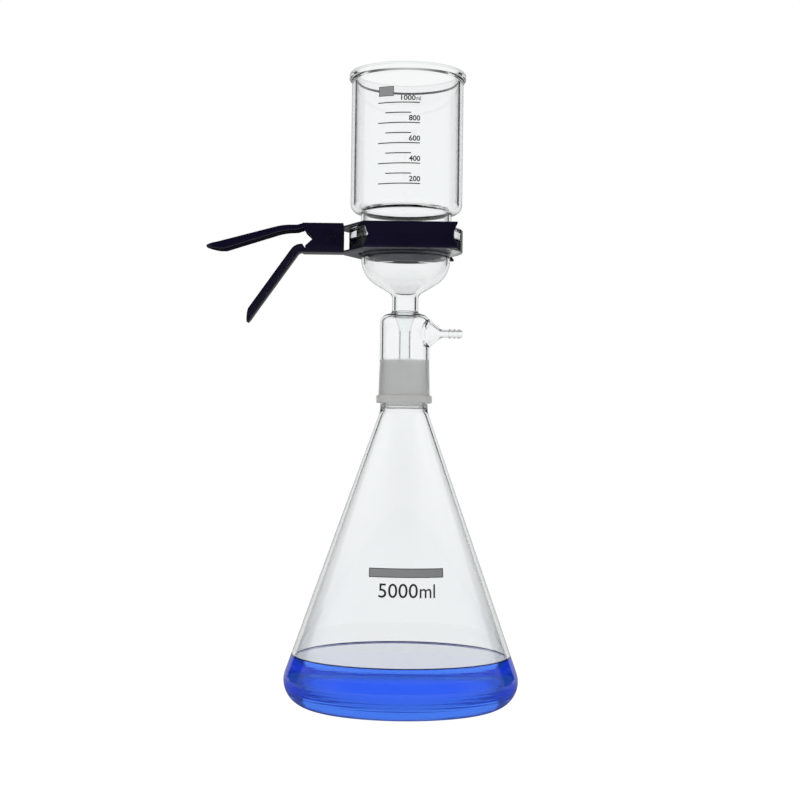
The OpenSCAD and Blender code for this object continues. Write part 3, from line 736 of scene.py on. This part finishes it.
def coil_point(angle):
    """The point of the coil at an angle in degrees, which falls from end to end."""
    a = math.radians(angle)
    return Vector((COIL_R * math.cos(a), -coil_w / 2 + (UPPER_TURN - angle) / 360 * COIL_PITCH,
                   COIL_R * math.sin(a)))


# the upper leg and the arc behind it turn with the upper jaw, and lap the rest of the coil
UPPER_ARC, ARC_LAP, ARC_STEPS = 60, 26, 8
own_arc = UPPER_ARC - ARC_LAP
upper_leg = [Vector((-LEG, -coil_w / 2, UPPER_SEAT))]
upper_leg += [coil_point(UPPER_TURN - UPPER_ARC * k / ARC_STEPS) for k in range(ARC_STEPS + 1)]
coil = [coil_point(UPPER_TURN - own_arc - (total_turn - own_arc) * k / COIL_STEPS)
        for k in range(COIL_STEPS + 1)]
coil += [Vector((-LEG, coil_w / 2, LOWER_SEAT))]
for name, path, body, nodes in (("torsion_spring_wire", coil, "lower_jaw", ("torsion_spring",)),
                                ("torsion_spring_leg", upper_leg, "upper_jaw", ())):
    wire = sweep_mesh(name, [p + pin_centre for p in path], WIRE_R, WIRE_SIDES)
    part(name, wire, body, "spring_steel", (steel,), *nodes)

# ---- printed graduations, thin enamel on the near side of the glass ----

PRINT_LIFT = 0.03
PRINT_T = 0.06


def wrap(mesh, radius):
    """Bends a flat print, with s across and z up in mm, round the glass at radius(z) on its -Y side."""
    for v in mesh.vertices:
        s, depth, z = v.co
        r = radius(z) + PRINT_LIFT + depth
        v.co = Vector((r * math.sin(s / r), -r * math.cos(s / r), z)) * MM
    mesh.update()


def strip(bm, s0, s1, z0, z1, step=1.0):
    """A closed flat block, cut across so that it bends smoothly."""
    cuts = max(1, math.ceil((s1 - s0) / step))
    loops = []
    for k in range(cuts + 1):
        s = s0 + (s1 - s0) * k / cuts
        corners = (s, 0, z0), (s, 0, z1), (s, PRINT_T, z1), (s, PRINT_T, z0)
        loops.append([bm.verts.new(p) for p in corners])
    for a, b in zip(loops, loops[1:]):
        for k in range(4):
            n = (k + 1) % 4
            bm.faces.new((a[k], a[n], b[n], b[k]))
    bm.faces.new(loops[0])
    bm.faces.new(loops[-1])


def label(bm, text, height, s0, s1, z0, bold):
    """Plain numerals from s0 to s1 that stand on z0, as closed blocks."""
    curve = bpy.data.curves.new("label", "FONT")
    curve.body = text
    curve.size = 1
    curve.extrude = 0.01
    curve.resolution_u = 4
    curve.offset = bold
    mesh = finished(linked("label", curve), "label")
    xs = [v.co.x for v in mesh.vertices]
    ys = [v.co.y for v in mesh.vertices]
    left, right, low, high = min(xs), max(xs), min(ys), max(ys)
    for v in mesh.vertices:
        v.co = Vector((s1 + (v.co.x - right) * (s1 - s0) / (right - left),
                       PRINT_T if v.co.z > 0 else 0, z0 + (v.co.y - low) * height / (high - low)))
    one = bmesh.new()
    one.from_mesh(mesh)
    bmesh.ops.remove_doubles(one, verts=one.verts, dist=1e-4)
    one.to_mesh(mesh)
    one.free()
    bm.from_mesh(mesh)


def print_piece(name, bm, radius, material):
    bmesh.ops.recalc_face_normals(bm, faces=bm.faces)
    mesh = to_mesh(bm, name)
    wrap(mesh, radius)
    part(name, mesh, "root", "enamel_print", (material,))


def cup_face(z):
    return CUP_R


LINE_T = 1.0
SCALE_STEP, SCALE_LEAN = 19.75, 0.25  # from line to line, down and to the right
scale_top = cup_high.z - 40.2  # the 1000 ml line
marks = bmesh.new()
for k in range(5):
    z, lean = scale_top - k * SCALE_STEP, SCALE_LEAN * k
    strip(marks, -30.3 + lean, 12.0 + lean, z - LINE_T / 2, z + LINE_T / 2)
    if k < 4:  # the short line halfway to the next
        low = z - SCALE_STEP / 2
        strip(marks, -22.4 + lean, 3.4 + 0.2 * k, low - LINE_T / 2, low + LINE_T / 2)
print_piece("cup_scale_lines", marks, cup_face, enamel)
figures = bmesh.new()
BOLD, MEDIUM, PLAIN = 0.022, 0.012, 0.004
label(figures, "1000", 4.9, -6.6, 7.7, scale_top + 2.0, BOLD)
label(figures, "ml", 4.4, 8.4, 12.9, scale_top + 2.0, MEDIUM)
for k, text in enumerate(("800", "600", "400", "200"), 1):
    lean = SCALE_LEAN * (k - 1)
    label(figures, text, 5.4, 1.3 + lean, 12.4 + lean, scale_top - k * SCALE_STEP + 1.9, BOLD)
print_piece("cup_scale_figures", figures, cup_face, enamel)


def framed(name, s0, s1, z0, z1, edge, radius):
    """A pale printed field with a thin dark frame."""
    field, frame_lines = bmesh.new(), bmesh.new()
    strip(field, s0 + edge, s1 - edge, z0 + edge, z1 - edge)
    for box in ((s0, s1, z0, z0 + edge), (s0, s1, z1 - edge, z1),
                (s0, s0 + edge, z0 + edge, z1 - edge), (s1 - edge, s1, z0 + edge, z1 - edge)):
        strip(frame_lines, *box)
    print_piece(name, field, radius, pale_enamel)
    print_piece(name + "_frame", frame_lines, radius, enamel)


framed("cup_writing_patch", -29.4, -13.7, cup_high.z - 33.9, cup_high.z - 24.3, 0.5, cup_face)
framed("flask_bar", -32.5, 41.0, 133.2, 141.8, 0.7, cone_r)
VOLUME_Z = 114.6
volume = bmesh.new()
label(volume, "5000", 13.2, -22.5, 15.2, VOLUME_Z, PLAIN)
label(volume, "ml", 12.6, 17.0, 32.2, VOLUME_Z, PLAIN)
print_piece("flask_volume", volume, cone_r, enamel)

# ---- floor, light, camera ----

FLOOR_R = 0.75
FLOOR_SHADOW, FLOOR_OPEN = 0.2, 0.88  # its glow in the painted shadow under the object and away from it, but for the camera
SHADOW_R, OPEN_R = 0.15, 0.4
MIRRORED = 0.4  # how much of the studio's light mirror-like reflections show
bm = bmesh.new()
bmesh.ops.create_circle(bm, cap_ends=True, segments=96, radius=FLOOR_R)
floor_mesh = to_mesh(bm, "floor")
m = Maker("floor")
rays = m.node("ShaderNodeLightPath").outputs
reach = m.node("ShaderNodeVectorMath", {0: m.where}, operation="LENGTH").outputs["Value"]
mirrored = m.node("ShaderNodeMath", {0: rays["Is Glossy Ray"], 1: rays["Is Transmission Ray"]},
                  operation="SUBTRACT", use_clamp=True).outputs[0]
# under the object the floor glows less: a painted shadow that the glass and reflections see
glow = m.node("ShaderNodeMath", {
    0: m.spread(reach, FLOOR_SHADOW, FLOOR_OPEN, SHADOW_R, OPEN_R),
    1: m.spread(mirrored, 1.0, MIRRORED, 0, 1)}, operation="MULTIPLY").outputs[0]
m.set(Base_Color=rgb(0.15, 0.15, 0.15), Roughness=0.9, Emission_Color=rgb(1, 1, 1),
      Emission_Strength=m.spread(rays["Is Camera Ray"], glow, 1.0, 0, 1))
floor_mesh.materials.append(m.material)
floor = linked("floor", floor_mesh)

scene = bpy.context.scene
world = bpy.data.worlds.new("studio")
scene.world = world
world.use_nodes = True
tree = world.node_tree
tree.nodes.clear()


def wnode(kind, inputs=(), **settings):
    return add_node(tree, kind, inputs, settings).outputs[0]


def ramp(value, start, end):
    """0 up to the start, 1 from the end on, and smooth between."""
    return wnode("ShaderNodeMapRange", {"Value": value, "From Min": start, "From Max": end},
                 interpolation_type="SMOOTHSTEP")


def times(a, b):
    return wnode("ShaderNodeMath", {0: a, 1: b}, operation="MULTIPLY")


def minus(a, b):
    return wnode("ShaderNodeMath", {0: a, 1: b}, operation="SUBTRACT")


def mixed(value, a, b):
    """a where the value is 0, b where it is 1."""
    return wnode("ShaderNodeMix", {0: value, 2: a, 3: b})


# a white backdrop, black flags on both sides of it down to the horizon, grey walls beside them and
# a room behind the camera that is dim in reflections, with a dark ceiling and a pale ground
BACKDROP, WALL, CEILING, GROUND = 1.0, 0.85, 0.05, 0.95
FLAG_LEFT, FLAG_RIGHT, FLAG_BELOW = 0.06, 0.01, 0.72
ROOM, ROOM_MIRRORED = 0.9, 0.12
# where one gives way to the next, in degrees from +Y to either side
TO_FLAG, TO_WALL, TO_ROOM = (31, 34), (57, 62), (100, 135)
# and as the sine of the height above the horizon
TO_FLAG_UP, TO_ROOM_UP, TO_CEILING, FROM_GROUND = (-0.07, -0.01), (-0.5, 0.1), (0.54, 0.62), (-0.45, -0.25)
TO_RIGHT = (-0.05, 0.05)  # from the left flag's light to the right one's, as a part of 1 along X

rays = tree.nodes.new("ShaderNodeLightPath").outputs
split = tree.nodes.new("ShaderNodeSeparateXYZ")
tree.links.new(tree.nodes.new("ShaderNodeTexCoord").outputs["Generated"], split.inputs[0])
dx, dy, dz = split.outputs
beside = wnode("ShaderNodeMath", {0: dx}, operation="ABSOLUTE")
azimuth = wnode("ShaderNodeMath", {0: beside, 1: dy}, operation="ARCTAN2")
mirrored = times(rays["Is Glossy Ray"], minus(1.0, rays["Is Transmission Ray"]))


def past(edges):
    """0 before the two azimuths, 1 past them."""
    return ramp(azimuth, *(math.radians(edge) for edge in edges))


flag = minus(FLAG_LEFT, times(ramp(dx, *TO_RIGHT), FLAG_LEFT - FLAG_RIGHT))
flag = mixed(ramp(dz, *TO_FLAG_UP), FLAG_BELOW, flag)
room = mixed(ramp(dz, *TO_ROOM_UP), GROUND, mixed(mirrored, ROOM, ROOM_MIRRORED))
light = mixed(past(TO_FLAG), BACKDROP, flag)
light = mixed(past(TO_WALL), light, WALL)
light = mixed(past(TO_ROOM), light, room)
light = mixed(ramp(dz, *TO_CEILING), light, CEILING)
light = mixed(ramp(dz, *FROM_GROUND), GROUND, light)
light = times(light, mixed(mirrored, 1.0, MIRRORED))
background = tree.nodes.new("ShaderNodeBackground")
tree.links.new(mixed(rays["Is Camera Ray"], light, 1.0), background.inputs["Strength"])
background.inputs["Color"].default_value = (1, 1, 1, 1)
output = tree.nodes.new("ShaderNodeOutputWorld")
tree.links.new(background.outputs[0], output.inputs["Surface"])


def softbox(name, place, target, size, power):
    """A soft area light that neither the camera, the glass nor a reflection shows."""
    lamp = bpy.data.lights.new(name, "AREA")
    lamp.shape = "RECTANGLE"
    lamp.size, lamp.size_y = size
    lamp.energy = power
    obj = linked(name, lamp)
    obj.location = place
    obj.rotation_euler = (Vector(target) - Vector(place)).to_track_quat("-Z", "Y").to_euler()
    obj.visible_camera = False
    obj.visible_glossy = obj.visible_transmission = False


middle = (0, 0, (cad_box[0][2] + cad_box[1][2]) / 2)
softbox("overhead", (0, -0.2, 2.3), middle, (1.8, 1.8), 12)
softbox("left", (-1.5, -1.1, 1.1), middle, (0.8, 1.4), 5)

CAMERA_PLACE, CAMERA_TILT, CAMERA_ROLL = (-0.004, -1.6, 0.259), math.radians(91.61), math.radians(0.7)
camera_data = bpy.data.cameras.new("camera")
camera_data.sensor_width = 36
camera_data.lens = 72
camera = linked("camera", camera_data)
camera.matrix_world = (Matrix.Translation(CAMERA_PLACE) @ Matrix.Rotation(CAMERA_TILT, 4, "X")
                       @ Matrix.Rotation(CAMERA_ROLL, 4, "Z"))
scene.camera = camera

scene.view_settings.view_transform = "Standard"
scene.cycles.max_bounces = scene.cycles.transmission_bounces = 26
scene.cycles.transparent_max_bounces = 16
scene.cycles.caustics_reflective = scene.cycles.caustics_refractive = True
